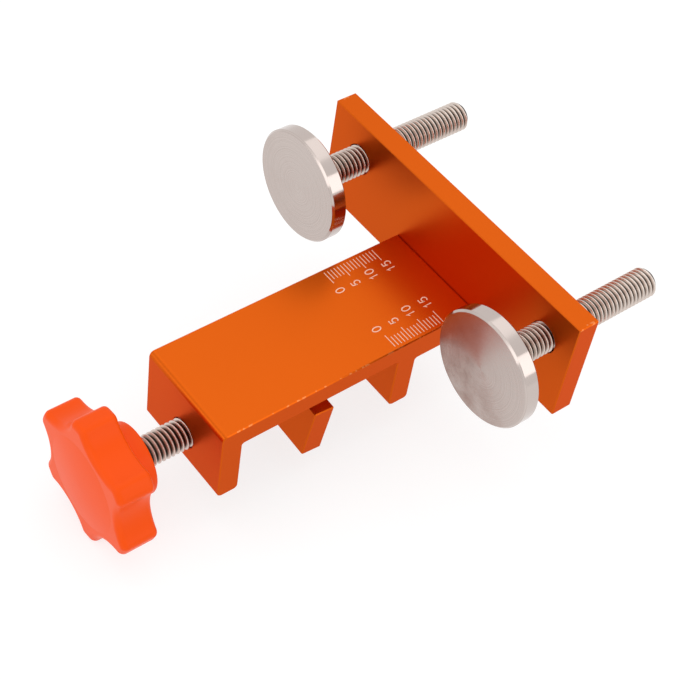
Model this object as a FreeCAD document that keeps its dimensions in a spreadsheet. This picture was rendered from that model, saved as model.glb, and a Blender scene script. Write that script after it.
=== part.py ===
import FreeCAD, Part
import math
import os
import Sketcher

# Cabinet door mounting jig: an E-shaped clamp bar with a cross plate on its end.
# A knob screw presses a loose jaw against the door panel, and the panel bears on
# the rear leg. Two disc-ended stop screws in the cross plate set the door's place.
#
# Frame: origin on the bar's top face, at mid-width, above the clamping face of the
# rear leg. X runs along the bar from the knob to the cross plate, Z is up.
# All sizes are in millimetres and degrees.

os.makedirs("parts", exist_ok=True)
doc = FreeCAD.newDocument("cabinet_door_mounting_jig")
sheet = doc.addObject("Spreadsheet::Sheet", "Sizes")

SIZES = [
    # Bar
    ("bar_width", 30.0, "width of the bar, across Y"),
    ("throat_length", 45.3, "clear length between the front wall and the rear leg"),
    ("front_wall", 5.7, "thickness of the front wall"),
    ("rear_leg", 5.8, "thickness of the rear leg"),
    ("tail_length", 17.0, "bar behind the rear leg, up to the cross plate"),
    ("wall_height", 22.0, "top face to the feet of the walls"),
    ("top_thickness", 5.5, "top plate over the throat"),
    ("tail_thickness", 7.5, "top plate behind the rear leg"),
    ("nose_round", 1.5, "round on the front top edge"),
    ("foot_round", 1.2, "round on the feet of the walls"),
    ("throat_round", 0.6, "round in the inside corners"),
    ("edge_break", 0.25, "broken edges of the cut faces"),
    # Cross plate
    ("plate_width", 90.0, "cross plate, across Y"),
    ("plate_height", 30.0, "cross plate, along Z"),
    ("plate_thickness", 6.0, "cross plate, along X"),
    ("plate_top", 22.0, "top of the cross plate above the bar's top face"),
    ("plate_offset", -0.8, "middle of the cross plate from the middle of the bar"),
    # Screws that hold the cross plate
    ("fixing_edge", 6.0, "axis of a fixing screw from the side of the bar"),
    ("fixing_diameter", 3.9, "shank of a fixing screw"),
    ("fixing_length", 14.0, "whole length of a fixing screw"),
    ("fixing_head", 7.5, "diameter of the countersunk head"),
    ("fixing_socket", 2.5, "hexagon socket, across flats"),
    ("fixing_socket_depth", 1.4, "depth of the hexagon socket"),
    ("fixing_hole_spare", 1.0, "hole in the bar beyond the end of the screw"),
    # Threads of the stop screws and the clamp screw
    ("thread_diameter", 7.8, "crest of the M8 threads"),
    ("thread_pitch", 1.25, "pitch of the M8 threads"),
    ("thread_depth", 0.7, "depth of the M8 threads"),
    ("thread_crest", 0.2, "flat on the crest of the M8 threads"),
    ("thread_clearance", 0.05, "radial clearance of threads, shanks and seats"),
    ("thread_chamfer", 1.0, "chamfer on the end of a thread"),
    ("hole_chamfer", 0.25, "chamfer at the mouth of a threaded hole"),
    # Stop screws
    ("stop_spacing", 69.4, "distance between the two stop screws"),
    ("stop_offset", -1.7, "middle of the two stop screws from the middle of the bar"),
    ("stop_height", 11.0, "axis of the stop screws above the bar's top face"),
    ("left_face", 3.3, "front face of the left disc along X"),
    ("right_face", 3.9, "front face of the right disc along X"),
    ("disc_diameter", 29.4, "stop disc"),
    ("disc_thickness", 4.2, "stop disc"),
    ("disc_chamfer", 0.5, "chamfer on the front edge of the disc"),
    ("disc_back_chamfer", 0.4, "chamfer on the back edge of the disc"),
    ("disc_seat", 2.5, "depth of the stud's seat in the disc"),
    ("stud_length", 51.6, "whole length of the stud"),
    # Clamp screw and jaw
    ("clamp_drop", 14.0, "axis of the clamp screw under the bar's top face"),
    ("jaw_pivot", -24.0, "middle of the jaw's bearing land along X"),
    ("jaw_width", 30.0, "jaw, across the bar"),
    ("jaw_height", 15.1, "jaw"),
    ("jaw_thickness", 5.7, "jaw"),
    ("jaw_above", 5.8, "jaw's top above the clamp screw's axis"),
    ("jaw_land", 2.0, "thickness of the jaw's bearing land"),
    ("jaw_play", 0.7, "free play of the land on each side"),
    ("jaw_bore", 6.6, "hole of the jaw on the spigot"),
    ("jaw_counterbore", 9.6, "recess for the washer and the jaw screw's head"),
    ("jaw_lean", 5.9, "angle by which the loose jaw leans over the spigot"),
    ("jaw_roll", 3.2, "angle by which the loose jaw has turned on the spigot"),
    ("jaw_break", 0.25, "broken edges of the jaw"),
    ("spigot_diameter", 6.0, "plain end of the clamp screw in the jaw"),
    ("washer_diameter", 8.0, "jaw washer"),
    ("washer_thickness", 0.8, "jaw washer"),
    ("cap_diameter", 6.8, "head of the jaw screw"),
    ("cap_height", 1.8, "head of the jaw screw"),
    ("cap_socket", 2.0, "hexagon socket of the jaw screw, across flats"),
    ("cap_socket_depth", 1.0, "hexagon socket of the jaw screw"),
    ("cap_shank", 2.9, "shank of the jaw screw"),
    ("cap_length", 7.0, "shank of the jaw screw under its head"),
    # Knob
    ("knob_gap", 12.5, "front wall to the end of the knob's hub"),
    ("knob_diameter", 36.8, "over the lobes"),
    ("knob_thickness", 9.4, "lobed head of the knob"),
    ("knob_lobes", 6.0, "number of lobes"),
    ("knob_phase", 22.0, "angle of the first lobe from the Y axis"),
    ("flute_radius", 11.5, "hollow between two lobes"),
    ("flute_depth", 3.9, "depth of the hollow under the lobes"),
    ("lobe_round", 2.0, "round on the corners of the lobes"),
    ("rim_round", 1.6, "round along the front rim"),
    ("back_round", 1.2, "round along the back rim"),
    ("dome_diameter", 24.4, "raised field of the front face"),
    ("dome_height", 0.7, "raised field of the front face"),
    ("dome_flat", 1.2, "flat in the middle of the raised field"),
    ("hub_diameter", 18.2, "hub behind the lobes"),
    ("hub_length", 5.3, "hub behind the lobes"),
    ("hub_round", 0.8, "round on the end of the hub"),
    ("knob_seat", 9.0, "depth of the clamp screw's seat in the knob"),
]

for row, (alias, value, note) in enumerate(SIZES, start=1):
    sheet.set(f"A{row}", note)
    sheet.set(f"B{row}", str(value))
    sheet.setAlias(f"B{row}", alias)
doc.recompute()


# Places that follow from the driving sizes
FRONT = "-(Sizes.throat_length + Sizes.front_wall)"
PLATE_FRONT = "(Sizes.rear_leg + Sizes.tail_length)"
PLATE_BACK = "(Sizes.rear_leg + Sizes.tail_length + Sizes.plate_thickness)"
HUB_END = "(-Sizes.throat_length - Sizes.front_wall - Sizes.knob_gap)"
KNOB_FACE = f"({HUB_END} - Sizes.hub_length - Sizes.knob_thickness)"
THREAD_CREST = "(Sizes.thread_diameter / 2)"
THREAD_HOLE = "(Sizes.thread_diameter / 2 + Sizes.thread_clearance)"
SHOULDER = "(Sizes.jaw_land / 2 + Sizes.jaw_play)"
TAIL_MIDDLE = "(-Sizes.tail_thickness / 2)"
STOPS = {"left": "Sizes.stop_spacing / 2", "right": "-Sizes.stop_spacing / 2"}
FIXINGS = {
    "left": "(Sizes.bar_width / 2 - Sizes.fixing_edge)",
    "right": "(Sizes.fixing_edge - Sizes.bar_width / 2)",
}
TINY = 1e-6


def value(expression):
    """Gives the number that an expression in the sheet's sizes stands for."""
    result = sheet.evalExpression(expression)
    return float(getattr(result, "Value", result))


def new_body(label, place=None):
    """Makes a body, placed by an expression."""
    body = doc.addObject("PartDesign::Body", label)
    body.Label = label
    if place:
        body.setExpression("Placement", place)
    return body


def new_sketch(body, name, plane, offset=None, turn=None):
    """Attaches a sketch to one of the body's own planes."""
    sketch = body.newObject("Sketcher::SketchObject", f"{body.Name}_{name}")
    for feature in body.Origin.OriginFeatures:
        if feature.Role == plane:
            sketch.AttachmentSupport = [(feature, "")]
    sketch.MapMode = "FlatFace"
    if offset:
        sketch.setExpression("AttachmentOffset.Base.z", offset)
    if turn:
        sketch.setExpression("AttachmentOffset.Rotation.Angle", turn)
    return sketch


def hold(sketch, kind, *where, expression):
    """Adds one sketch dimension and binds it to an expression."""
    index = sketch.addConstraint(Sketcher.Constraint(kind, *where, value(expression)))
    sketch.setExpression(f"Constraints[{index}]", expression)


def polygon(sketch, corners):
    """Draws a closed outline whose corners are (x, y) expressions."""
    points = [FreeCAD.Vector(value(x), value(y), 0) for x, y in corners]
    count = len(points)
    for index in range(count):
        sketch.addGeometry(Part.LineSegment(points[index], points[(index + 1) % count]))
    for index in range(count):
        follower = (index + 1) % count
        sketch.addConstraint(Sketcher.Constraint("Coincident", index, 2, follower, 1))
        x, y = corners[index]
        hold(sketch, "DistanceX", -1, 1, index, 1, expression=x)
        hold(sketch, "DistanceY", -1, 1, index, 1, expression=y)


def circle(sketch, x, y, radius):
    """Draws a circle whose centre and radius are expressions."""
    centre = FreeCAD.Vector(value(x), value(y), 0)
    index = sketch.addGeometry(Part.Circle(centre, FreeCAD.Vector(0, 0, 1), value(radius)))
    hold(sketch, "DistanceX", -1, 1, index, 3, expression=x)
    hold(sketch, "DistanceY", -1, 1, index, 3, expression=y)
    hold(sketch, "Radius", index, expression=radius)


def hexagon(sketch, across_flats):
    """Draws a hexagon round the sketch's origin, from its size across flats."""
    half = f"({across_flats} / 2)"
    reach = f"({across_flats} / 2 / cos(30 deg))"
    corners = [(reach, "0"), (f"{reach} / 2", half), (f"-{reach} / 2", half),
               (f"-{reach}", "0"), (f"-{reach} / 2", f"-{half}"), (f"{reach} / 2", f"-{half}")]
    polygon(sketch, corners)


def add(body, kind, name, **settings):
    """Adds a feature to the body, with expressions for the values given as text."""
    feature = body.newObject(f"PartDesign::{kind}", f"{body.Name}_{name}")
    for key, setting in settings.items():
        if isinstance(setting, str) and setting.startswith("="):
            feature.setExpression(key, setting[1:])
        else:
            setattr(feature, key, setting)
    doc.recompute()
    return feature


def cut(body, kind, name, **settings):
    """Adds a cut, and makes sure that it takes something off."""
    before = body.Shape.Volume
    feature = add(body, kind, name, **settings)
    if body.Shape.Volume > before - TINY:
        raise RuntimeError(f"{feature.Name} cuts nothing")
    return feature


def edges_where(feature, test):
    """Names the edges of a feature's shape that pass a test."""
    return [f"Edge{number}" for number, edge in enumerate(feature.Shape.Edges, start=1) if test(edge)]


def dress(body, kind, name, base, test, size):
    """Rounds or chamfers the edges that pass a test."""
    names = edges_where(base, test)
    if not names:
        raise RuntimeError(f"{body.Label} {name} finds no edge")
    key = "Radius" if kind == "Fillet" else "Size"
    return add(body, kind, name, Base=(base, names), **{key: f"={size}"})


def turned(label, corners, place):
    """Makes a turned piece from its half profile, with the X axis as its centre line."""
    body = new_body(label, place)
    outline = new_sketch(body, "half_profile", "XY_Plane")
    polygon(outline, corners)
    add(body, "Revolution", "turning", Profile=outline, ReferenceAxis=(outline, ["H_Axis"]), Angle=360.0)
    return body


def cut_thread(body, end, length):
    """Cuts a thread as V-shaped rings, one a pitch, from its end back over its length."""
    middle = f"({end} - Sizes.thread_pitch / 2)"
    slope = "(Sizes.thread_pitch - Sizes.thread_crest) / 2 / Sizes.thread_depth"
    mouth = f"{slope} * (Sizes.thread_depth + Sizes.thread_clearance)"
    ring_outline = new_sketch(body, "ring_outline", "XY_Plane")
    polygon(ring_outline, [
        (middle, f"{THREAD_CREST} - Sizes.thread_depth"),
        (f"{middle} + {mouth}", THREAD_HOLE),
        (f"{middle} - {mouth}", THREAD_HOLE),
    ])
    centre_line = (ring_outline, ["H_Axis"])
    ring = cut(body, "Groove", "ring", Profile=ring_outline, ReferenceAxis=centre_line, Angle=360.0)
    count = int(value(f"({length}) / Sizes.thread_pitch"))
    rings = add(body, "LinearPattern", "rings", Originals=[ring], Direction=centre_line, Reversed=True,
                Length=f"={count - 1} * Sizes.thread_pitch", Occurrences=count)
    body.Tip = rings
    doc.recompute()


def at(x, y, z, turn=None):
    """Writes a placement as an expression."""
    rotation = turn or "rotation(vector(0; 0; 1); 0)"
    return f"placement(vector({x}; {y}; {z}); {rotation})"


def is_along(edge, axis):
    """Tells whether an edge is a straight one along an axis."""
    if edge.Curve.TypeId != "Part::GeomLine":
        return False
    return abs(abs(edge.Curve.Direction.dot(axis)) - 1) < TINY


def near(left, right):
    """Tells whether two lengths are the same."""
    return abs(left - right) < 1e-4


# Bar: an E-shaped extrusion, cut to length across Y
bar = new_body("bar")
profile = new_sketch(bar, "profile", "XZ_Plane")
feet = "-Sizes.wall_height"
polygon(profile, [
    (FRONT, "0"),
    (PLATE_FRONT, "0"),
    (PLATE_FRONT, "-Sizes.tail_thickness"),
    ("Sizes.rear_leg", "-Sizes.tail_thickness"),
    ("Sizes.rear_leg", feet),
    ("0", feet),
    ("0", "-Sizes.top_thickness"),
    ("-Sizes.throat_length", "-Sizes.top_thickness"),
    ("-Sizes.throat_length", feet),
    (FRONT, feet),
])
extrusion = add(bar, "Pad", "extrusion", Profile=profile, Length="=Sizes.bar_width", SideType="Symmetric")

y_axis = FreeCAD.Vector(0, 1, 0)
front_x = value(FRONT)
tail_x = value(PLATE_FRONT)
feet_z = value(feet)


def is_nose(edge):
    """Picks the top edge of the front wall."""
    spot = edge.CenterOfMass
    return is_along(edge, y_axis) and near(spot.x, front_x) and near(spot.z, 0)


def is_foot(edge):
    """Picks the bottom edges of both walls."""
    return is_along(edge, y_axis) and near(edge.CenterOfMass.z, feet_z)


def is_inside_corner(edge):
    """Picks the inside corners under the top plate."""
    spot = edge.CenterOfMass
    walls = ("-Sizes.throat_length", "0", "Sizes.rear_leg")
    undersides = ("-Sizes.top_thickness", "-Sizes.tail_thickness")
    on_wall = any(near(spot.x, value(place)) for place in walls)
    under_top = any(near(spot.z, value(place)) for place in undersides)
    return is_along(edge, y_axis) and on_wall and under_top


def is_cut_edge(edge):
    """Picks the outline of the two sawn faces and of the end that meets the cross plate."""
    spot = edge.CenterOfMass
    return near(abs(spot.y), value("Sizes.bar_width / 2")) or near(spot.x, tail_x)


nose = dress(bar, "Fillet", "nose", extrusion, is_nose, "Sizes.nose_round")
foot_edges = dress(bar, "Fillet", "feet", nose, is_foot, "Sizes.foot_round")
inside = dress(bar, "Fillet", "inside", foot_edges, is_inside_corner, "Sizes.throat_round")
dress(bar, "Chamfer", "deburr", inside, is_cut_edge, "Sizes.edge_break")

clamp_hole = new_sketch(bar, "clamp_hole", "YZ_Plane", FRONT)
circle(clamp_hole, "0", "-Sizes.clamp_drop", THREAD_HOLE)
bored = cut(bar, "Pocket", "clamp_thread", Profile=clamp_hole, Reversed=True,
            Length="=Sizes.throat_length / 2")


def is_clamp_mouth(edge):
    """Picks the round edges of the clamp screw's hole."""
    if edge.Curve.TypeId != "Part::GeomCircle":
        return False
    centre = edge.Curve.Center
    return near(centre.y, 0) and near(centre.z, value("-Sizes.clamp_drop"))


dress(bar, "Chamfer", "clamp_mouth", bored, is_clamp_mouth, "Sizes.hole_chamfer")

tapped = new_sketch(bar, "fixing_holes", "YZ_Plane", PLATE_FRONT)
for side in FIXINGS.values():
    circle(tapped, side, TAIL_MIDDLE, "Sizes.fixing_diameter / 2 + Sizes.thread_clearance")
cut(bar, "Pocket", "fixing_threads", Profile=tapped,
    Length="=Sizes.fixing_length - Sizes.plate_thickness + Sizes.fixing_hole_spare")

# Cross plate: a flat bar with two threaded holes and two countersunk ones
plate = new_body("cross_plate", at(PLATE_FRONT, "Sizes.plate_offset", "0"))
blank = new_sketch(plate, "outline", "YZ_Plane")
half_plate = "Sizes.plate_width / 2"
plate_foot = "Sizes.plate_top - Sizes.plate_height"
polygon(blank, [
    (f"-{half_plate}", plate_foot),
    (half_plate, plate_foot),
    (half_plate, "Sizes.plate_top"),
    (f"-{half_plate}", "Sizes.plate_top"),
])
slab = add(plate, "Pad", "slab", Profile=blank, Length="=Sizes.plate_thickness")
x_axis = FreeCAD.Vector(1, 0, 0)
dress(plate, "Chamfer", "deburr", slab, lambda edge: True, "Sizes.edge_break")

stop_holes = new_sketch(plate, "stop_holes", "YZ_Plane")
for side in STOPS.values():
    circle(stop_holes, f"{side} + Sizes.stop_offset - Sizes.plate_offset", "Sizes.stop_height", THREAD_HOLE)
drilled = cut(plate, "Pocket", "stop_threads", Profile=stop_holes, Reversed=True,
              Length="=Sizes.plate_thickness")
dress(plate, "Chamfer", "stop_mouths", drilled,
      lambda edge: edge.Curve.TypeId == "Part::GeomCircle", "Sizes.hole_chamfer")

fixing_spots = new_sketch(plate, "fixing_spots", "YZ_Plane", "Sizes.plate_thickness")
for side in FIXINGS.values():
    circle(fixing_spots, f"{side} - Sizes.plate_offset", TAIL_MIDDLE, "Sizes.fixing_diameter / 2")
doc.recompute()
cut(plate, "Hole", "fixing_holes", Profile=fixing_spots, DepthType="ThroughAll",
    Diameter="=Sizes.fixing_diameter + 2 * Sizes.thread_clearance",
    HoleCutType="Countersink", HoleCutCustomValues=True, HoleCutCountersinkAngle=90.0,
    HoleCutDiameter="=Sizes.fixing_head + 2 * Sizes.thread_clearance")

# Fixing screws: countersunk heads flush with the back of the cross plate
cone = "(Sizes.fixing_head - Sizes.fixing_diameter) / 2"
tip = "-Sizes.fixing_length"
for name, side in FIXINGS.items():
    screw = turned(f"plate_screw_{name}", [
        (tip, "0"),
        ("0", "0"),
        ("0", "Sizes.fixing_head / 2"),
        (f"-{cone}", "Sizes.fixing_diameter / 2"),
        (f"{tip} + Sizes.thread_chamfer / 2", "Sizes.fixing_diameter / 2"),
        (tip, "Sizes.fixing_diameter / 2 - Sizes.thread_chamfer / 2"),
    ], at(PLATE_BACK, side, TAIL_MIDDLE))
    socket = new_sketch(screw, "socket", "YZ_Plane")
    hexagon(socket, "Sizes.fixing_socket")
    cut(screw, "Pocket", "socket_cut", Profile=socket, Length="=Sizes.fixing_socket_depth")

# Stop screws: a stud with a turned disc on its front end
bevel = "Sizes.disc_chamfer"
rim = "Sizes.disc_diameter / 2"
seat = "(Sizes.disc_thickness - Sizes.disc_seat)"
for name, side in STOPS.items():
    face = f"Sizes.{name}_face"
    line_y = f"{side} + Sizes.stop_offset"
    turned(f"{name}_disc", [
        ("0", "0"),
        ("0", f"{rim} - {bevel}"),
        (bevel, rim),
        ("Sizes.disc_thickness - Sizes.disc_back_chamfer", rim),
        ("Sizes.disc_thickness", f"{rim} - Sizes.disc_back_chamfer"),
        ("Sizes.disc_thickness", THREAD_HOLE),
        (seat, THREAD_HOLE),
        (seat, "0"),
    ], at(face, line_y, "Sizes.stop_height"))
    thread_end = "(Sizes.stud_length - Sizes.thread_chamfer)"
    stud = turned(f"{name}_stud", [
        ("0", "0"),
        ("0", THREAD_CREST),
        (thread_end, THREAD_CREST),
        ("Sizes.stud_length", f"{THREAD_CREST} - Sizes.thread_chamfer"),
        ("Sizes.stud_length", "0"),
    ], at(f"{face} + {seat} + Sizes.thread_clearance", line_y, "Sizes.stop_height"))
    cut_thread(stud, thread_end, thread_end)

# Clamp screw: threaded from the knob to its shoulder, then a spigot for the jaw
screw_start = f"({HUB_END} - Sizes.knob_seat - Sizes.jaw_pivot)"
spigot = "Sizes.spigot_diameter / 2"
pilot = "Sizes.cap_shank / 2 + Sizes.thread_clearance"
pilot_end = f"({SHOULDER} + Sizes.washer_thickness - Sizes.cap_length - Sizes.fixing_hole_spare)"
clamp_end = f"(-{SHOULDER} - Sizes.thread_chamfer / 2)"
clamp_screw = turned("clamp_screw", [
    (screw_start, "0"),
    (screw_start, THREAD_CREST),
    (clamp_end, THREAD_CREST),
    (f"-{SHOULDER}", f"{THREAD_CREST} - Sizes.thread_chamfer / 2"),
    (f"-{SHOULDER}", spigot),
    (SHOULDER, spigot),
    (SHOULDER, pilot),
    (pilot_end, pilot),
    (pilot_end, "0"),
], at("Sizes.jaw_pivot", "0", "-Sizes.clamp_drop"))
cut_thread(clamp_screw, clamp_end, f"{clamp_end} - {screw_start}")

# Jaw: a loose block that leans and turns on the spigot as far as its play allows
jaw = new_body("jaw", at(
    "Sizes.jaw_pivot", "0", "-Sizes.clamp_drop",
    "rotation(vector(0; 1; 0); Sizes.jaw_lean) * rotation(vector(1; 0; 0); Sizes.jaw_roll)"))
block = new_sketch(jaw, "outline", "YZ_Plane", "-Sizes.jaw_land / 2")
half_jaw = "Sizes.jaw_width / 2"
jaw_foot = "Sizes.jaw_above - Sizes.jaw_height"
polygon(block, [
    (f"-{half_jaw}", jaw_foot),
    (half_jaw, jaw_foot),
    (half_jaw, "Sizes.jaw_above"),
    (f"-{half_jaw}", "Sizes.jaw_above"),
])
sawn = add(jaw, "Pad", "block", Profile=block, Length="=Sizes.jaw_thickness")
dress(jaw, "Chamfer", "deburr", sawn, lambda edge: True, "Sizes.jaw_break")
jaw_hole = new_sketch(jaw, "bore", "YZ_Plane", "-Sizes.jaw_land")
circle(jaw_hole, "0", "0", "Sizes.jaw_bore / 2")
cut(jaw, "Pocket", "bore_cut", Profile=jaw_hole, Length="=Sizes.jaw_thickness", Reversed=True)
recess = new_sketch(jaw, "recess", "YZ_Plane", "Sizes.jaw_land / 2")
circle(recess, "0", "0", "Sizes.jaw_counterbore / 2")
cut(jaw, "Pocket", "recess_cut", Profile=recess, Length="=Sizes.jaw_thickness", Reversed=True)

# Washer and cap screw that keep the jaw on the spigot
turned("jaw_washer", [
    ("0", "Sizes.cap_shank / 2 + Sizes.thread_clearance"),
    ("0", "Sizes.washer_diameter / 2"),
    ("Sizes.washer_thickness", "Sizes.washer_diameter / 2"),
    ("Sizes.washer_thickness", "Sizes.cap_shank / 2 + Sizes.thread_clearance"),
], at(f"Sizes.jaw_pivot + {SHOULDER}", "0", "-Sizes.clamp_drop"))
cap = turned("jaw_screw", [
    ("-Sizes.cap_length", "0"),
    ("-Sizes.cap_length", "Sizes.cap_shank / 2"),
    ("0", "Sizes.cap_shank / 2"),
    ("0", "Sizes.cap_diameter / 2"),
    ("Sizes.cap_height - Sizes.edge_break", "Sizes.cap_diameter / 2"),
    ("Sizes.cap_height", "Sizes.cap_diameter / 2 - Sizes.edge_break"),
    ("Sizes.cap_height", "0"),
], at(f"Sizes.jaw_pivot + {SHOULDER} + Sizes.washer_thickness", "0", "-Sizes.clamp_drop"))
cap_socket = new_sketch(cap, "socket", "YZ_Plane", "Sizes.cap_height")
hexagon(cap_socket, "Sizes.cap_socket")
cut(cap, "Pocket", "socket_cut", Profile=cap_socket, Length="=Sizes.cap_socket_depth")

# Knob: a moulded star with a round hub, built from its front face towards the bar
knob_turn = "rotation(vector(1; 0; 0); Sizes.knob_phase)"
knob = new_body("knob", at(KNOB_FACE, "0", "-Sizes.clamp_drop", knob_turn))
disc_outline = new_sketch(knob, "head_outline", "YZ_Plane")
circle(disc_outline, "0", "0", "Sizes.knob_diameter / 2")
head = add(knob, "Pad", "head", Profile=disc_outline, Length="=Sizes.knob_thickness")
flute_sketch = new_sketch(knob, "flute_outline", "YZ_Plane")
reach = "(Sizes.knob_diameter / 2 - Sizes.flute_depth + Sizes.flute_radius)"
half_pitch = "180 deg / Sizes.knob_lobes"
circle(flute_sketch, f"{reach} * cos({half_pitch})", f"{reach} * sin({half_pitch})", "Sizes.flute_radius")
flute = cut(knob, "Pocket", "flute", Profile=flute_sketch, Length="=Sizes.knob_thickness", Reversed=True)
star = add(knob, "PolarPattern", "flutes", Originals=[flute], Axis=(flute_sketch, ["N_Axis"]),
           Angle=360.0, Occurrences=int(value("Sizes.knob_lobes")))
knob.Tip = star
doc.recompute()

knob_back = value("Sizes.knob_thickness")
lobes = dress(knob, "Fillet", "lobes", star, lambda edge: is_along(edge, x_axis), "Sizes.lobe_round")
front_rim = dress(knob, "Fillet", "front_rim", lobes,
                  lambda edge: near(edge.BoundBox.XMax, 0), "Sizes.rim_round")
dress(knob, "Fillet", "back_rim", front_rim,
      lambda edge: near(edge.BoundBox.XMin, knob_back), "Sizes.back_round")

hub_outline = new_sketch(knob, "hub_outline", "YZ_Plane", "Sizes.knob_thickness - Sizes.back_round")
circle(hub_outline, "0", "0", "Sizes.hub_diameter / 2")
hub = add(knob, "Pad", "hub", Profile=hub_outline, Length="=Sizes.hub_length + Sizes.back_round")
hub_end = value("Sizes.knob_thickness + Sizes.hub_length")
dress(knob, "Fillet", "hub_rim", hub, lambda edge: near(edge.BoundBox.XMin, hub_end), "Sizes.hub_round")

seat_sketch = new_sketch(knob, "seat_outline", "YZ_Plane", "Sizes.knob_thickness + Sizes.hub_length")
circle(seat_sketch, "0", "0", THREAD_HOLE)
cut(knob, "Pocket", "seat", Profile=seat_sketch, Length="=Sizes.knob_seat + Sizes.thread_clearance")

# The raised field of the front face is a shallow spherical cap with a small flat
cap_sketch = new_sketch(knob, "dome_outline", "XY_Plane")
half_dome = value("Sizes.dome_diameter / 2")
dome_rise = value("Sizes.dome_height")
half_flat = value("Sizes.dome_flat / 2")
dome_radius = (half_dome ** 2 + dome_rise ** 2) / (2 * dome_rise)
dome_centre = dome_radius - dome_rise
flat_x = dome_centre - math.sqrt(dome_radius ** 2 - half_flat ** 2)
crown = FreeCAD.Vector(flat_x, 0, 0)
flat_edge = FreeCAD.Vector(flat_x, half_flat, 0)
shoulder = FreeCAD.Vector(0, half_dome, 0)
foot_point = FreeCAD.Vector(0, 0, 0)
cap_sketch.addGeometry(Part.LineSegment(flat_edge, crown))
cap_sketch.addGeometry(Part.LineSegment(crown, foot_point))
cap_sketch.addGeometry(Part.LineSegment(foot_point, shoulder))
arc_circle = Part.Circle(FreeCAD.Vector(dome_centre, 0, 0), FreeCAD.Vector(0, 0, 1), dome_radius)
start_angle = arc_circle.parameter(shoulder)
end_angle = arc_circle.parameter(flat_edge)
cap_sketch.addGeometry(Part.ArcOfCircle(arc_circle, start_angle, end_angle))
doc.recompute()
add(knob, "Revolution", "dome", Profile=cap_sketch, ReferenceAxis=(cap_sketch, ["H_Axis"]), Angle=360.0)

doc.recompute()

# Every object has to be sound before anything is written
for item in doc.Objects:
    if "Invalid" in item.State or "Error" in item.State:
        raise RuntimeError(f"{item.Label} failed: {item.State}")
bodies = [item for item in doc.Objects if item.TypeId == "PartDesign::Body"]
for item in bodies:
    shape = item.Shape
    if shape.isNull() or not shape.isValid() or len(shape.Solids) != 1:
        raise RuntimeError(f"{item.Label} is not one sound solid")
for item in bodies:
    item.Shape.exportStep(f"parts/{item.Label}.step")
    box = item.Shape.BoundBox
    print(f"{item.Label}: {item.Shape.Volume:.1f} mm3, x {box.XMin:.1f} to {box.XMax:.1f}, "
          f"y {box.YMin:.1f} to {box.YMax:.1f}, z {box.ZMin:.1f} to {box.ZMax:.1f}")
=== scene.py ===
# %% [markdown]
# A cabinet door mounting jig
# The jig is an orange anodised bar that a knob screw clamps on a door panel. A cross plate on
# the bar's end carries two screws with turned steel discs, which are set against the cabinet.
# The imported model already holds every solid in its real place, in metres: X runs along the bar
# towards the cross plate, Y across the bar and Z up. This lesson dresses those solids. It sets
# up the camera and the light, gives each solid its finish, turns the real climbing threads that
# the solids only show as rings, and marks the scale on the bar.

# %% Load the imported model
import math

import bmesh
import bpy
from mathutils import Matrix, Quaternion, Vector


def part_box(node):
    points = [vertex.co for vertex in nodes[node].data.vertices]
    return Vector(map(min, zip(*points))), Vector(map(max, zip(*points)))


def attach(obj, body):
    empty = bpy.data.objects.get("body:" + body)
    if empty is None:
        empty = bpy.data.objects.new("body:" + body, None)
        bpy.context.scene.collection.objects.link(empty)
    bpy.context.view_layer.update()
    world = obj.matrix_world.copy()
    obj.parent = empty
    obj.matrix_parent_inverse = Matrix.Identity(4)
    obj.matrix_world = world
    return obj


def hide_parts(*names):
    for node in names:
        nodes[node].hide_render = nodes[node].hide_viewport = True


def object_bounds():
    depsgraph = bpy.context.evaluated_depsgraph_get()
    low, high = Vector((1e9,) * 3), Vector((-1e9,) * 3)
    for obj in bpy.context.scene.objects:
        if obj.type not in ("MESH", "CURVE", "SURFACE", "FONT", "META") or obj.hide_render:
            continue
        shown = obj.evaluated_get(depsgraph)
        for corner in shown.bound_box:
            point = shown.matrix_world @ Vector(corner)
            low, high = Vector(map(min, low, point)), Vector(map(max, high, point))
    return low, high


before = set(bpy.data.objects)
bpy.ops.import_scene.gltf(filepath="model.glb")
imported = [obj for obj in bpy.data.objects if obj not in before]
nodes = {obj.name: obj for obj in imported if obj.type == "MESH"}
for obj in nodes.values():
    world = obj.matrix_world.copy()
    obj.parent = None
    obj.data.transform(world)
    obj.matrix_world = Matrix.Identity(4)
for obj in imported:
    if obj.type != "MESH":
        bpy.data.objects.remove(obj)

MM = 0.001
cad_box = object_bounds()
low, high = cad_box
print("pieces:", len(nodes))
print("size in mm:", [round((high[axis] - low[axis]) / MM, 1) for axis in range(3)])

# %% [markdown]
# The camera
# The picture looks down on the jig from the knob's side, with the camera turned a little about
# its own line of sight. A place, a point to aim at, a roll and an angle of view say all of that
# in numbers that can be read, where a rotation matrix could not. The roll comes last, because
# it turns the picture about its middle and leaves the aim alone.

# %% Place the camera
EYE = Vector((-191.21, -185.08, 284.76)) * MM
AIM = Vector((-11.04, -5.43, 0.0)) * MM
ROLL = math.radians(10.10)
VIEW_ANGLE = math.radians(23.63)

camera_data = bpy.data.cameras.new("catalogue_camera")
camera_data.angle = VIEW_ANGLE
camera = bpy.data.objects.new("catalogue_camera", camera_data)
bpy.context.scene.collection.objects.link(camera)
camera.location = EYE
camera.rotation_mode = "QUATERNION"
line_of_sight = (AIM - EYE).to_track_quat("-Z", "Y")
camera.rotation_quaternion = line_of_sight @ Quaternion((0, 0, 1), ROLL)
bpy.context.scene.camera = camera
print("camera to aim, mm:", round((AIM - EYE).length / MM))

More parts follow.
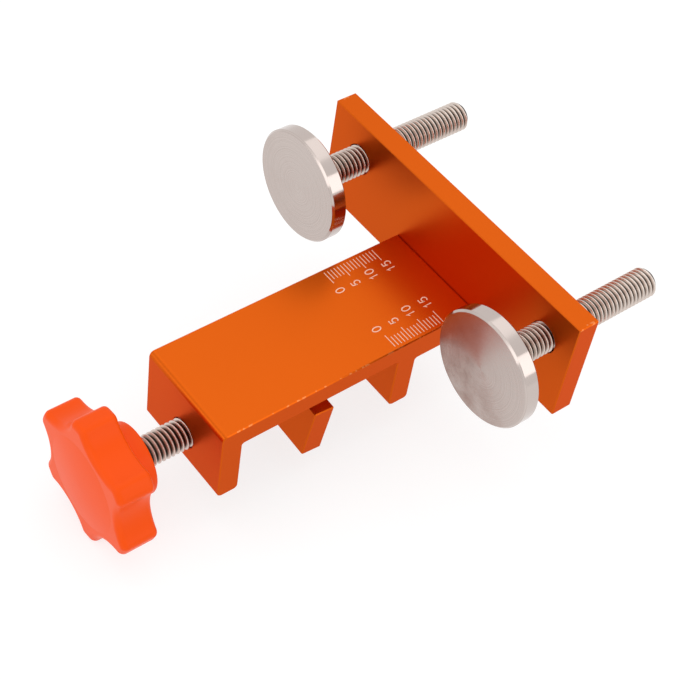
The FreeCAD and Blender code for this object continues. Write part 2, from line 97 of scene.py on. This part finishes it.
# %% [markdown]
# Building shader trees
# Every finish below is a small tree of nodes, so the helpers come first. A socket of a node is
# filled either with a plain value or with the output of a node made before it, and one helper
# does both, so each line below reads as what a node is and what goes into it. The others blend
# colours, calculate, ask for a noise field, and start a material or a node group.

# %% Add a node with its sockets filled
def fill(tree, node, sockets):
    """Fills sockets of a node, each with a plain value or with the output of another node."""
    for name, filling in sockets.items():
        if isinstance(filling, bpy.types.NodeSocket):
            tree.links.new(filling, node.inputs[name])
        else:
            node.inputs[name].default_value = filling


def add_node(tree, kind, sockets=None, **properties):
    """Adds a node to a tree, with its properties set and its sockets filled."""
    node = tree.nodes.new(kind)
    for name, setting in properties.items():
        setattr(node, name, setting)
    fill(tree, node, sockets or {})
    return node


# %% Blend, calculate and ask for noise
# a Mix node has its two colours and its blended colour at these places
FIRST_COLOUR, SECOND_COLOUR, BLENDED_COLOUR = 6, 7, 2


def blend(tree, share, first, second):
    """Gives a blend of two colours, where a share of 0 is the first and 1 the second."""
    sockets = {0: share, FIRST_COLOUR: first, SECOND_COLOUR: second}
    return add_node(tree, "ShaderNodeMix", sockets, data_type="RGBA").outputs[BLENDED_COLOUR]


def calculate(tree, operation, *values):
    """Gives the result of one step of arithmetic."""
    sockets = dict(enumerate(values))
    return add_node(tree, "ShaderNodeMath", sockets, operation=operation).outputs[0]


def noise_field(tree, sockets, **properties):
    """Gives a noise between 0 and 1."""
    return add_node(tree, "ShaderNodeTexNoise", sockets, **properties).outputs[0]


# %% Start a material or a node group
def new_material(name, sockets):
    """Starts a material, and gives it with its tree and its Principled BSDF."""
    material = bpy.data.materials.new(name)
    material.use_nodes = True
    tree = material.node_tree
    shader = tree.nodes["Principled BSDF"]
    fill(tree, shader, sockets)
    print("finish:", name)
    return material, tree, shader


def new_group(name, inputs, outputs):
    """Starts a node group with inputs, by name and starting value, and outputs, by name."""
    group = bpy.data.node_groups.new(name, "ShaderNodeTree")
    for socket_name, value in inputs.items():
        kind = "NodeSocketFloat" if isinstance(value, float) else "NodeSocketVector"
        socket = group.interface.new_socket(socket_name, in_out="INPUT", socket_type=kind)
        socket.default_value = value
    for socket_name in outputs:
        group.interface.new_socket(socket_name, in_out="OUTPUT", socket_type="NodeSocketFloat")
    print("effect:", name, "gives", ", ".join(outputs))
    return group


# %% Write colours as they look
def srgb(red, green, blue):
    """Turns the red, green and blue of a picture, 0 to 255, into linear light."""
    def linear(channel):
        share = channel / 255
        if share <= 0.04045:
            return share / 12.92
        return ((share + 0.055) / 1.055) ** 2.4
    return (linear(red), linear(green), linear(blue), 1.0)


print("middle grey is", round(srgb(128, 128, 128)[0], 3), "in linear light")

# %% [markdown]
# Stage and light
# A catalogue picture stands the product on a white sheet under one large soft lamp. The floor
# here is a pale sheet at the height of the jig's lowest point. Where the camera, metal or glass
# looks at it, most of its white is its own, so that it stays white beside the jig and keeps
# only a faint shadow. The sky is white in the same way, at full strength where it is looked at,
# and weaker where it lights plain surfaces, which leaves room for the lamps to model the shapes.
# The Light Path node tells such looks from plain light, and one helper asks it for both.

# %% Tell looks from light
def add_seen(tree):
    """Gives a value that is 1 where the camera, metal or glass looks, and 0 where light falls."""
    path = add_node(tree, "ShaderNodeLightPath").outputs
    seen = calculate(tree, "MAXIMUM", path["Is Camera Ray"], path["Is Glossy Ray"])
    return calculate(tree, "MAXIMUM", seen, path["Is Transmission Ray"])


# %% Lay the floor
FLOOR_SIZE = 6.0
FLOOR_SHADE = (0.90, 0.90, 0.90, 1)
SHADOW_SHARE = (0.34, 0.34, 0.34, 1)
FLOOR_GLOW = 0.72
WHITE = (1, 1, 1, 1)

bpy.ops.mesh.primitive_plane_add(size=FLOOR_SIZE, location=(0, 0, low.z))
floor = bpy.context.object
floor.name = "floor_sheet"
floor_paint, floor_tree, floor_shader = new_material(
    "floor_sheet", {"Roughness": 1.0, "Specular IOR Level": 0.0, "Emission Color": WHITE})
looked_at = add_seen(floor_tree)
fill(floor_tree, floor_shader, {
    "Base Color": blend(floor_tree, looked_at, FLOOR_SHADE, SHADOW_SHARE),
    "Emission Strength": calculate(floor_tree, "MULTIPLY", looked_at, FLOOR_GLOW),
})
floor.data.materials.append(floor_paint)
print("floor at", round(low.z / MM, 1), "mm")

# %% Light the sky
SKY_ON_SURFACES = 0.78
SKY_SEEN = 1.0

world = bpy.data.worlds.new("white_studio")
bpy.context.scene.world = world
world.use_nodes = True
sky = world.node_tree
strength = add_node(sky, "ShaderNodeMix", {
    "Factor": add_seen(sky), "A": SKY_ON_SURFACES, "B": SKY_SEEN})
fill(sky, sky.nodes["Background"], {"Color": WHITE, "Strength": strength.outputs["Result"]})
print("sky lights surfaces with", SKY_ON_SURFACES, "of its white")

# %% Hang the lamps
# The large lamp overhead stands where the top of the bar mirrors it, but the top of the cross
# plate doesn't, and makes the bar the brighter of the two. The side lamp and the strip draw
# the bright lines along broken edges and chamfers, one for each direction that the edges run.
# name: place in mm, width and height in mm, power in watts
LAMPS = {
    "overhead_softbox": ((60, 160, 700), (900, 900), 1.2),
    "side_softbox": ((150, -460, 250), (450, 300), 0.42),
    "edge_strip": ((-480, 0, 220), (650, 220), 0.42),
}
view_settings = bpy.context.scene.view_settings
view_settings.view_transform = "Standard"
for name, (place, (width, height), power) in LAMPS.items():
    lamp_data = bpy.data.lights.new(name, "AREA")
    lamp_data.shape = "RECTANGLE"
    lamp_data.size = width * MM
    lamp_data.size_y = height * MM
    lamp_data.energy = power
    lamp = bpy.data.objects.new(name, lamp_data)
    bpy.context.scene.collection.objects.link(lamp)
    lamp.location = Vector(place) * MM
    lamp.rotation_mode = "QUATERNION"
    lamp.rotation_quaternion = (-lamp.location).to_track_quat("-Z", "Y")
    print(name, "at", place, "mm,", power, "W")

# %% [markdown]
# Shared effect: surface grain
# Blasted aluminium, moulded plastic and drawn steel all have a fine tooth, only at different
# sizes. One noise field, stretched where the grain runs one way, gives the height of that tooth,
# and a second, much wider one makes the gloss drift a little, as it does on real parts. It is a
# node group, so each finish places the same effect with its own numbers.

# %% Build the surface grain group
DRIFT_CLOUDS_PER_METRE = 60.0

grain_group = new_group(
    "surface_grain",
    {"Grain Size": 0.2 * MM, "Roughness": 0.4, "Drift": 0.05, "Stretch": (1, 1, 1)},
    ("Height", "Roughness"))
given = add_node(grain_group, "NodeGroupInput").outputs
on_part = add_node(grain_group, "ShaderNodeTexCoord").outputs["Object"]
stretched = add_node(grain_group, "ShaderNodeVectorMath", {0: on_part, 1: given["Stretch"]},
                     operation="MULTIPLY")
grains_per_metre = calculate(grain_group, "DIVIDE", 1.0, given["Grain Size"])
tooth = noise_field(grain_group, {
    "Vector": stretched.outputs[0], "Scale": grains_per_metre, "Detail": 3.0, "Roughness": 0.6})
cloud = noise_field(grain_group, {
    "Vector": on_part, "Scale": DRIFT_CLOUDS_PER_METRE, "Detail": 2.0})
centred = calculate(grain_group, "SUBTRACT", cloud, 0.5)
add_node(grain_group, "NodeGroupOutput", {
    "Height": tooth,
    "Roughness": calculate(
        grain_group, "MULTIPLY_ADD", centred, given["Drift"], given["Roughness"]),
})


# %% Place the grain in a material
def add_grain(tree, shader, size_mm, roughness, drift, bump, depth_mm, stretch=(1, 1, 1)):
    """Places the surface grain in a material, with a bump of a real depth."""
    grain = add_node(tree, "ShaderNodeGroup", {
        "Grain Size": size_mm * MM, "Roughness": roughness, "Drift": drift, "Stretch": stretch,
    }, node_tree=grain_group).outputs
    relief = add_node(tree, "ShaderNodeBump", {
        "Strength": bump, "Distance": depth_mm * MM, "Height": grain["Height"]})
    fill(tree, shader, {"Roughness": grain["Roughness"], "Normal": relief.outputs["Normal"]})


# %% [markdown]
# Orange anodised aluminium
# Anodising dyes a clear oxide layer on bare metal. The surface stays a metal: it mirrors what
# stands near it, tinted orange each time, which is why the bar turns a deep red where it faces
# the cross plate. Bare metal would turn white at a glancing view. Here the light crosses more
# dye on its slanting way, so the orange turns redder instead, which the shader's specular tint
# does. The oxide itself adds a faint colourless sheen, as a weak clear coat.
# The bar is a slice of an extrusion that ran along Y, so its grain is drawn out that way.
# The dyed layer is thin. A few tiny spots along the top edges are paler, partly rubbed dye and
# partly a painted highlight of the broken edges, where a noise field rises above a limit inside
# a narrow band of the piece's box.

# %% Make the anodised finish
ANODISED_ORANGE = srgb(205, 87, 4)
GLANCING_TINT = (1.0, 0.42, 0.35, 1.0)

anodised, anodised_tree, anodised_shader = new_material("orange_anodised", {
    "Metallic": 0.97, "Specular Tint": GLANCING_TINT, "Coat Weight": 0.11, "Coat Roughness": 0.35})
add_grain(anodised_tree, anodised_shader, size_mm=0.16, roughness=0.34, drift=0.05,
          bump=0.12, depth_mm=0.02, stretch=(1, 0.25, 1))

# %% Paint pale spots on the top edges
# pale edge spots: partly rubbed dye, partly a painted highlight along the broken edges
WORN_AND_HIGHLIGHT_ORANGE = srgb(216, 120, 62)
# how far from the middle of its box a piece's side edge begins, and how high its top begins
EDGE_FROM = 0.4915
TOP_FROM = 0.986
SPOTS_PER_METRE = 900.0
SPOT_LIMIT = 0.58

in_piece = add_node(anodised_tree, "ShaderNodeTexCoord").outputs
across_box = add_node(
    anodised_tree, "ShaderNodeSeparateXYZ", {0: in_piece["Generated"]}).outputs
from_middle = calculate(anodised_tree, "SUBTRACT", across_box["Y"], 0.5)
to_side = calculate(anodised_tree, "ABSOLUTE", from_middle)
on_edge = calculate(
    anodised_tree, "MULTIPLY",
    calculate(anodised_tree, "GREATER_THAN", to_side, EDGE_FROM),
    calculate(anodised_tree, "GREATER_THAN", across_box["Z"], TOP_FROM))
spots = noise_field(anodised_tree, {
    "Vector": in_piece["Object"], "Scale": SPOTS_PER_METRE, "Detail": 1.0})
is_spot = calculate(anodised_tree, "GREATER_THAN", spots, SPOT_LIMIT)
worn_and_highlit = calculate(anodised_tree, "MULTIPLY", on_edge, is_spot)
fill(anodised_tree, anodised_shader, {
    "Base Color": blend(anodised_tree, worn_and_highlit, ANODISED_ORANGE, WORN_AND_HIGHLIGHT_ORANGE)})
print("rubbed spots are about", round(1 / SPOTS_PER_METRE / MM, 1), "mm across")

# %% [markdown]
# Moulded plastic
# The knob is dyed plastic, so its colour comes from within and not from what it mirrors. The
# mould leaves a fine even tooth, which spreads the highlights on the lobes.

# %% Make the knob's finish
KNOB_ORANGE = srgb(247, 82, 6)

knob_plastic, knob_tree, knob_shader = new_material(
    "knob_plastic", {"Base Color": KNOB_ORANGE, "Metallic": 0.0, "Specular IOR Level": 0.13})
add_grain(knob_tree, knob_shader, size_mm=0.30, roughness=0.36, drift=0.06,
          bump=0.15, depth_mm=0.03)

# %% [markdown]
# Shared effect: how far from the axis
# Two finishes below follow the turning of the part: the rings of the discs, and the grooves of
# the threads. Generated coordinates run from 0 to 1 over each piece's own box, so the distance
# from the box's middle line, doubled, is 1 at the outside of a turned piece, whatever its size.

# %% Build the distance group
BOX_MIDDLE = (0.5, 0.5, 0.5)
ACROSS_AXIS_DOUBLED = (0, 2, 2)

axis_group = new_group("axis_distance", {}, ("Distance",))
in_box = add_node(axis_group, "ShaderNodeTexCoord").outputs["Generated"]
from_centre = add_node(axis_group, "ShaderNodeVectorMath", {0: in_box, 1: BOX_MIDDLE},
                       operation="SUBTRACT").outputs[0]
flattened = add_node(axis_group, "ShaderNodeVectorMath", {0: from_centre, 1: ACROSS_AXIS_DOUBLED},
                     operation="MULTIPLY").outputs[0]
distance = add_node(axis_group, "ShaderNodeVectorMath", {0: flattened}, operation="LENGTH")
add_node(axis_group, "NodeGroupOutput", {"Distance": distance.outputs["Value"]})

# %% [markdown]
# Bright steel
# The small screws and the washer are plain bright steel. The threads are rolled, which leaves
# the same steel a little duller, and their roots are painted darker than the crests, as painted
# shade in the grooves. The ends of a screw lie nearer the axis than any root, and stay bright.

# %% Make the small screws' finish
BRIGHT_STEEL = srgb(212, 202, 195)

plain_steel, plain_tree, plain_shader = new_material(
    "plain_steel", {"Base Color": BRIGHT_STEEL, "Metallic": 1.0})
add_grain(plain_tree, plain_shader, size_mm=0.12, roughness=0.22, drift=0.06,
          bump=0.10, depth_mm=0.01)

# %% Make the threads' finish
ROLLED_STEEL = srgb(214, 201, 192)
# the colour painted into the thread roots as shade in the grooves
GROOVE_SHADE_STEEL = srgb(44, 36, 31)
# shares of the screw's radius, with the painted groove shade darkest at the first and none from
# the second
ROOT_FROM = 0.795
CREST_FROM = 0.93

thread_steel, thread_tree, thread_shader = new_material("thread_steel", {"Metallic": 1.0})
add_grain(thread_tree, thread_shader, size_mm=0.12, roughness=0.31, drift=0.06,
          bump=0.10, depth_mm=0.01)
# the roots get painted shade, which fades out towards the crests
from_axis = add_node(
    thread_tree, "ShaderNodeGroup", node_tree=axis_group).outputs["Distance"]
climb = add_node(
    thread_tree, "ShaderNodeMapRange",
    {"Value": from_axis, "From Min": ROOT_FROM, "From Max": CREST_FROM},
    interpolation_type="SMOOTHSTEP")
inside = calculate(thread_tree, "LESS_THAN", from_axis, ROOT_FROM)
bright = calculate(thread_tree, "MAXIMUM", climb.outputs["Result"], inside)
fill(thread_tree, thread_shader, {
    "Base Color": blend(thread_tree, bright, GROOVE_SHADE_STEEL, ROLLED_STEEL)})

# %% [markdown]
# Turned stainless steel
# A lathe tool leaves rings round the centre of each disc, almost too fine to see one by one.
# They spread a highlight across the rings and so along the radius, which is the dark and bright
# fan on a turned face. The anisotropic part of the shader does that when it is told which way
# the rings run. The rim and its chamfer are finer, so they mirror the orange plate more sharply.
# The right disc is painted darker and browner in soft blotches on its lower and far part, partly
# a stain and partly a painted dark reflection of the shade under the bar that it faces there. The
# left disc has only a trace of it. One function makes both finishes with their own amount.

# %% Build the turned rings group
# a surface is a disc's face, and not its rim, where its normal points along X by more than this
FACES_ALONG_X = 0.9

rings_group = new_group(
    "turned_rings",
    {"Rings": 60.0, "Face Roughness": 0.3, "Rim Roughness": 0.15},
    ("Height", "Roughness"))
given = add_node(rings_group, "NodeGroupInput").outputs
from_axis = add_node(
    rings_group, "ShaderNodeGroup", node_tree=axis_group).outputs["Distance"]
tool_marks = noise_field(
    rings_group, {"W": from_axis, "Scale": given["Rings"], "Detail": 2.0, "Roughness": 0.7},
    noise_dimensions="1D")
normal = add_node(rings_group, "ShaderNodeTexCoord").outputs["Normal"]
facing = add_node(rings_group, "ShaderNodeSeparateXYZ", {0: normal}).outputs["X"]
is_face = calculate(
    rings_group, "GREATER_THAN", calculate(rings_group, "ABSOLUTE", facing), FACES_ALONG_X)
gloss = add_node(rings_group, "ShaderNodeMix", {
    "Factor": is_face, "A": given["Rim Roughness"], "B": given["Face Roughness"]})
add_node(rings_group, "NodeGroupOutput", {
    "Height": tool_marks, "Roughness": gloss.outputs["Result"]})

# %% Choose the discs' numbers
TURNED_STEEL = srgb(208, 196, 190)
TURNED_VALLEY = srgb(182, 169, 163)
RINGS_PER_RADIUS = 50.0
RING_DEPTH = 0.01 * MM
RING_BUMP = 0.08
FACE_ROUGHNESS = 0.25
RIM_ROUGHNESS = 0.13
HIGHLIGHT_SPREAD = 0.7
QUARTER_TURN = 0.25

# the brown of the stain and of the painted dark reflection on the lower, far part of a disc
STAIN_AND_DARK_REFLECTION = srgb(140, 104, 90)
# the stain and painted dark reflection grow along this direction of a disc's own box, between
# these two places on it
LOW_AND_FAR = (0.0, 0.75, -0.66)
DARKENING_FROM, DARKENING_FULL = -0.25, 0.35
BLOTCHES_PER_METRE = 170.0
# noise under the first leaves the steel clean, and over the second gives it the full stain and
# painted dark reflection
BLOTCH_FROM, BLOTCH_FULL = 0.25, 0.75

disc_low, disc_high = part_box("left_disc")
disc_radius = (disc_high.z - disc_low.z) / 2
print("rings are about", round(disc_radius / RINGS_PER_RADIUS / MM, 1), "mm wide")


# %% Make the discs' finish
def turned_finish(name, stain_and_shade):
    """Makes a turned face, with brown blotches, partly stain and partly painted dark reflection,
    as strong as its second argument, from 0 to 1.
    """
    material, tree, shader = new_material(name, {
        "Metallic": 1.0, "Anisotropic": HIGHLIGHT_SPREAD, "Anisotropic Rotation": QUARTER_TURN})
    rings = add_node(tree, "ShaderNodeGroup", {
        "Rings": RINGS_PER_RADIUS, "Face Roughness": FACE_ROUGHNESS,
        "Rim Roughness": RIM_ROUGHNESS}, node_tree=rings_group).outputs
    relief = add_node(tree, "ShaderNodeBump", {
        "Strength": RING_BUMP, "Distance": RING_DEPTH, "Height": rings["Height"]})
    round_the_axis = add_node(tree, "ShaderNodeTangent", direction_type="RADIAL", axis="X")
    steel = blend(tree, rings["Height"], TURNED_VALLEY, TURNED_STEEL)

    on_disc = add_node(tree, "ShaderNodeTexCoord").outputs
    low_and_far = add_node(
        tree, "ShaderNodeVectorMath", {0: on_disc["Generated"], 1: LOW_AND_FAR},
        operation="DOT_PRODUCT").outputs["Value"]
    side = add_node(
        tree, "ShaderNodeMapRange",
        {"Value": low_and_far, "From Min": DARKENING_FROM, "From Max": DARKENING_FULL},
        interpolation_type="SMOOTHSTEP").outputs["Result"]
    blotches = noise_field(tree, {
        "Vector": on_disc["Object"], "Scale": BLOTCHES_PER_METRE,
        "Detail": 4.0, "Roughness": 0.65})
    patches = add_node(tree, "ShaderNodeMapRange", {
        "Value": blotches, "From Min": BLOTCH_FROM, "From Max": BLOTCH_FULL,
        "To Max": stain_and_shade}).outputs["Result"]
    darkening = calculate(tree, "MULTIPLY", side, patches)

    fill(tree, shader, {
        "Base Color": blend(tree, darkening, steel, STAIN_AND_DARK_REFLECTION),
        "Roughness": rings["Roughness"],
        "Normal": relief.outputs["Normal"],
        "Tangent": round_the_axis.outputs["Tangent"],
    })
    return material


# %% [markdown]
# Dressing the solids
# Every solid gets one finish by its name, so a new finish for a piece is one word in the table.

# %% Dress the solids
FINISHES = {
    "bar": anodised,
    "cross_plate": anodised,
    "jaw": anodised,
    "knob": knob_plastic,
    "left_disc": turned_finish("turned_stainless", 0.10),
    # the right disc's blotches are partly a stain and partly a painted dark reflection
    "right_disc": turned_finish("stained_and_shaded_stainless", 0.70),
    "plate_screw_left": plain_steel,
    "plate_screw_right": plain_steel,
    "jaw_washer": plain_steel,
    "jaw_screw": plain_steel,
    "clamp_screw": thread_steel,
    "left_stud": thread_steel,
    "right_stud": thread_steel,
}
for name, finish in FINISHES.items():
    for material_slot in nodes[name].material_slots:
        material_slot.material = finish
    print(name, "wears", finish.name)

# %% [markdown]
# Threads
# The solids draw each thread as closed rings, one for each pitch. A real M8 thread is one
# V-shaped groove that climbs 1.25 mm a turn. It could be a bump in the material, but the jagged
# outline of the screws shows against the white. So each rod is a grid of points laid along the
# helix: a row is a fixed place on the V, and each column is a small turn further on and a small
# step along the axis. Rows that pass an end are held there, and a 45 degree cone cuts the ends,
# as a lathe does.

# %% Describe the thread
PITCH = 1.25 * MM
THREAD_DEPTH = 0.6134 * PITCH
CREST_FLAT = 0.125
ROOT_FLAT = 0.18
SOFTENING = 0.45
ROWS_PER_TURN = 12
COLUMNS = 48
# two points closer than this, in metres, are one
SAME_POINT = 1e-6


def thread_height(share):
    """Gives the height over the root, 0 to 1, at a share of the pitch from the crest."""
    slope = abs(2 * share - 1)
    ramp = (slope - ROOT_FLAT) / (1 - CREST_FLAT - ROOT_FLAT)
    ramp = min(max(ramp, 0), 1)
    eased = ramp * ramp * (3 - 2 * ramp)
    return ramp + (eased - ramp) * SOFTENING


print("thread depth, mm:", round(THREAD_DEPTH / MM, 3))

# %% Turn a mesh into a piece
SHARP_FROM = math.radians(50)


def keep_piece(name, mesh):
    """Writes a bmesh into a new object whose shallow edges are smooth."""
    data = bpy.data.meshes.new(name)
    mesh.to_mesh(data)
    mesh.free()
    data.shade_smooth()
    data.set_sharp_from_angle(angle=SHARP_FROM)
    piece = bpy.data.objects.new(name, data)
    bpy.context.scene.collection.objects.link(piece)
    print(name, len(data.polygons), "faces")
    return piece


# %% Turn a threaded rod
def helix_points(start, end, crest, start_radius, end_radius):
    """Gives the rows of (x, radius, angle) of a right-hand thread between two ends."""
    root = crest - THREAD_DEPTH
    turns = math.ceil((end - start) / PITCH) + 2
    rows = []
    for row in range(turns * ROWS_PER_TURN + 1):
        flank = root + THREAD_DEPTH * thread_height(row % ROWS_PER_TURN / ROWS_PER_TURN)
        line = []
        for column in range(COLUMNS):
            turned = row / ROWS_PER_TURN + column / COLUMNS
            x = min(max(start + PITCH * (turned - 1), start), end)
            cone = min(start_radius + x - start, end_radius + end - x)
            line.append((x, min(flank, cone), math.tau * column / COLUMNS))
        rows.append(line)
    return rows


def threaded_rod(name, start, end, axis, crest, start_radius, end_radius, tail=()):
    """Builds a closed threaded rod along X. The tail is a turned end of (x, radius) steps."""
    mesh = bmesh.new()

    def spot(x, radius, angle):
        return (x, axis.y + radius * math.cos(angle), axis.z + radius * math.sin(angle))

    grid = [
        [mesh.verts.new(spot(*point)) for point in line]
        for line in helix_points(start, end, crest, start_radius, end_radius)
    ]
    for row in range(len(grid) - 1):
        for column in range(COLUMNS - 1):
            mesh.faces.new((grid[row][column], grid[row][column + 1],
                            grid[row + 1][column + 1], grid[row + 1][column]))
        joined = row + ROWS_PER_TURN
        if joined + 1 < len(grid):
            mesh.faces.new((grid[row][-1], grid[joined][0],
                            grid[joined + 1][0], grid[row + 1][-1]))
    bmesh.ops.remove_doubles(mesh, verts=mesh.verts, dist=SAME_POINT)

    ring = [edge for edge in mesh.edges
            if edge.is_boundary and all(abs(vert.co.x - end) < SAME_POINT for vert in edge.verts)]
    for x, radius in tail:
        grown = bmesh.ops.extrude_edge_only(mesh, edges=ring)["geom"]
        ring = [item for item in grown if isinstance(item, bmesh.types.BMEdge)]
        for vert in {vert for edge in ring for vert in edge.verts}:
            angle = math.atan2(vert.co.z - axis.z, vert.co.y - axis.y)
            vert.co = spot(x, radius, angle)
    bmesh.ops.holes_fill(mesh, edges=mesh.edges, sides=0)
    bmesh.ops.recalc_face_normals(mesh, faces=mesh.faces)
    return keep_piece(name, mesh)


# %% Cut the threads of the stop screws
END_CHAMFER = 1.0 * MM
STOP_SCREWS = {"left_stud": "left_stop", "right_stud": "right_stop"}

for node_name, body in STOP_SCREWS.items():
    rod_low, rod_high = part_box(node_name)
    middle = (rod_low + rod_high) / 2
    crest = (rod_high.z - rod_low.z) / 2
    thread = threaded_rod(f"{node_name}_thread", rod_low.x, rod_high.x, middle, crest,
                          crest - THREAD_DEPTH, crest - END_CHAMFER)
    thread.data.materials.append(thread_steel)
    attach(thread, body)
    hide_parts(node_name)

# %% [markdown]
# The clamp screw
# The clamp screw is threaded from the knob to a shoulder, and ends in a plain spigot on which
# the loose jaw sits. A small cap screw goes into the spigot's end and keeps the jaw on. Only
# the thread between the knob and the front wall is in plain sight, but the rest shows from
# below, so the whole screw is turned with its spigot as the tail.

# %% Cut the thread of the clamp screw
SPIGOT_LENGTH = 3.4 * MM
SPIGOT_RADIUS = 3.0 * MM
PILOT_RADIUS = 1.5 * MM
PILOT_DEPTH = 7.2 * MM

screw_low, screw_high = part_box("clamp_screw")
middle = (screw_low + screw_high) / 2
crest = (screw_high.z - screw_low.z) / 2
root = crest - THREAD_DEPTH
shoulder_x = screw_high.x - SPIGOT_LENGTH
spigot = (
    (shoulder_x, SPIGOT_RADIUS),
    (screw_high.x, SPIGOT_RADIUS),
    (screw_high.x, PILOT_RADIUS),
    (screw_high.x - PILOT_DEPTH, PILOT_RADIUS),
)
clamp_thread = threaded_rod("clamp_screw_thread", screw_low.x, shoulder_x, middle, crest,
                            root, root, spigot)
clamp_thread.data.materials.append(thread_steel)
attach(clamp_thread, "clamp_spindle")
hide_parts("clamp_screw")

# %% [markdown]
# The scale on the bar
# Two rows of ticks, a millimetre apart, run in from the bar's sides, with the numbers 0, 5, 10
# and 15 beside the long ones. On the real bar they are burnt through the dye by a laser, which
# leaves the oxide pale and hardly changes the surface. A texture would need an image or long
# formulas for the figures, so the marks are flat pieces a few hundredths of a millimetre proud.

# %% Make the marks' finish
MARK_PALE = srgb(250, 203, 178)

mark_pale, mark_tree, mark_shader = new_material(
    "laser_mark", {"Base Color": MARK_PALE, "Metallic": 0.0})
add_grain(mark_tree, mark_shader, size_mm=0.10, roughness=0.65, drift=0.10,
          bump=0.10, depth_mm=0.01)

# %% Place the ticks
MARK_HEIGHT = 0.015 * MM
MARK_DEPTH = 0.020 * MM
TICK_COUNT = 16
TICK_SPACING = 0.995 * MM
TICK_WIDTH = 0.21 * MM
SHORT_TICK = 3.0 * MM
LONG_TICK = 4.0 * MM
LONG_EVERY = 5
# side: where tick 0 stands along X, where the ticks start across Y, which way they run
TICK_ROWS = {
    "left": (-1.15 * MM, 13.9 * MM, -1),
    "right": (-1.05 * MM, -13.95 * MM, 1),
}


# the corners of each face, counted as add_box makes them
BOX_FACES = ((0, 1, 3, 2), (4, 6, 7, 5), (0, 4, 5, 1), (2, 3, 7, 6), (0, 2, 6, 4), (1, 5, 7, 3))


def add_box(mesh, corner, opposite):
    """Adds a closed box between two opposite corners."""
    xs, ys, zs = zip(corner, opposite)
    verts = [mesh.verts.new((x, y, z)) for x in xs for y in ys for z in zs]
    for face in BOX_FACES:
        mesh.faces.new([verts[index] for index in face])


for side, (first_x, edge_y, inwards) in TICK_ROWS.items():
    mesh = bmesh.new()
    for tick in range(TICK_COUNT):
        length = SHORT_TICK if tick % LONG_EVERY else LONG_TICK
        x = first_x + tick * TICK_SPACING
        add_box(mesh, (x - TICK_WIDTH / 2, edge_y, -MARK_DEPTH),
                (x + TICK_WIDTH / 2, edge_y + inwards * length, MARK_HEIGHT))
    bmesh.ops.recalc_face_normals(mesh, faces=mesh.faces)
    ticks = keep_piece(f"scale_ticks_{side}", mesh)
    ticks.data.materials.append(mark_pale)
    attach(ticks, "frame")

# %% [markdown]
# The numbers
# A type face would bring its own shapes, and the laser draws each figure as one thin line of
# even width. So every figure is a pen path in a box of one by one, with straight stretches and
# quarter turns, and a ribbon of the stroke's width follows it.

# %% Draw the figures as pen paths
ARC_STEPS = 5


def arc(centre_x, centre_y, reach_x, reach_y, start_turn, end_turn):
    """Gives points round an ellipse, between two turns of 360 degrees."""
    steps = max(2, round(abs(end_turn - start_turn) * 4 * ARC_STEPS))
    turns = [start_turn + (end_turn - start_turn) * step / steps for step in range(steps + 1)]
    return [(centre_x + reach_x * math.cos(math.tau * turn),
             centre_y + reach_y * math.sin(math.tau * turn)) for turn in turns]


# each path runs in a box from -0.5 to 0.5 both ways, with the figure's top at +0.5
PEN_PATHS = {
    "0": [arc(0, 0, 0.5, 0.5, 0, 1)],
    "1": [[(-0.28, 0.22), (0.06, 0.42), (0.12, 0.5), (0.12, -0.5)]],
    "5": [[(0.42, 0.5), (-0.32, 0.5), (-0.42, 0.02)]
          + arc(0.0, -0.17, 0.48, 0.33, 0.40, -0.40)],
}
print("figures:", ", ".join(PEN_PATHS))

# %% Place the numbers
FIGURE_HEIGHT = 2.35 * MM
FIGURE_WIDTH = 1.30 * MM
FIGURE_STEP = 1.95 * MM
STROKE = 0.28 * MM
# where a path bends, the ribbon widens to at most 1 / MITRE_LIMIT of its stroke
MITRE_LIMIT = 0.5
# side: number and the middle of its place, in mm
NUMBER_ROWS = {
    "left": (("0", -1.3, 7.2), ("5", 3.5, 7.2), ("10", 8.65, 7.45), ("15", 14.05, 7.45)),
    "right": (("0", -1.5, -7.35), ("5", 3.7, -7.4), ("10", 8.75, -6.8), ("15", 14.1, -6.8)),
}


def add_ribbon(mesh, points):
    """Adds a flat bar of the stroke's width along a path on the bar's top face."""
    path = [Vector(point) for point in points]
    closed = (path[0] - path[-1]).length < SAME_POINT
    rails = []
    for index, spot in enumerate(path):
        before = path[index - 1] if index else (path[-2] if closed else None)
        after = path[index + 1] if index + 1 < len(path) else (path[1] if closed else None)
        arriving = (spot - before).normalized() if before else (after - spot).normalized()
        leaving = (after - spot).normalized() if after else arriving
        across = (arriving + leaving).normalized().orthogonal()
        widening = 1 / max(across.dot(arriving.orthogonal()), MITRE_LIMIT)
        offset = across * STROKE / 2 * widening
        rails.append([mesh.verts.new((*(spot + offset * hand), height))
                      for hand in (1, -1) for height in (MARK_HEIGHT, -MARK_DEPTH)])
    for one, two in zip(rails, rails[1:]):
        for first, second in ((0, 1), (1, 3), (3, 2), (2, 0)):
            mesh.faces.new((one[first], one[second], two[second], two[first]))
    if not closed:
        for rail in (rails[0], rails[-1]):
            mesh.faces.new((rail[0], rail[1], rail[3], rail[2]))


for side, numbers in NUMBER_ROWS.items():
    mesh = bmesh.new()
    for number, x, y in numbers:
        for index, figure in enumerate(number):
            # the numbers read along +Y, with their tops towards the knob
            shift = (index - (len(number) - 1) / 2) * FIGURE_STEP
            for pen_path in PEN_PATHS[figure]:
                add_ribbon(mesh, [
                    (x * MM - up * FIGURE_HEIGHT, y * MM + shift + along * FIGURE_WIDTH)
                    for along, up in pen_path])
    bmesh.ops.remove_doubles(mesh, verts=mesh.verts, dist=SAME_POINT)
    bmesh.ops.recalc_face_normals(mesh, faces=mesh.faces)
    row_of_numbers = keep_piece(f"scale_numbers_{side}", mesh)
    row_of_numbers.data.materials.append(mark_pale)
    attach(row_of_numbers, "frame")
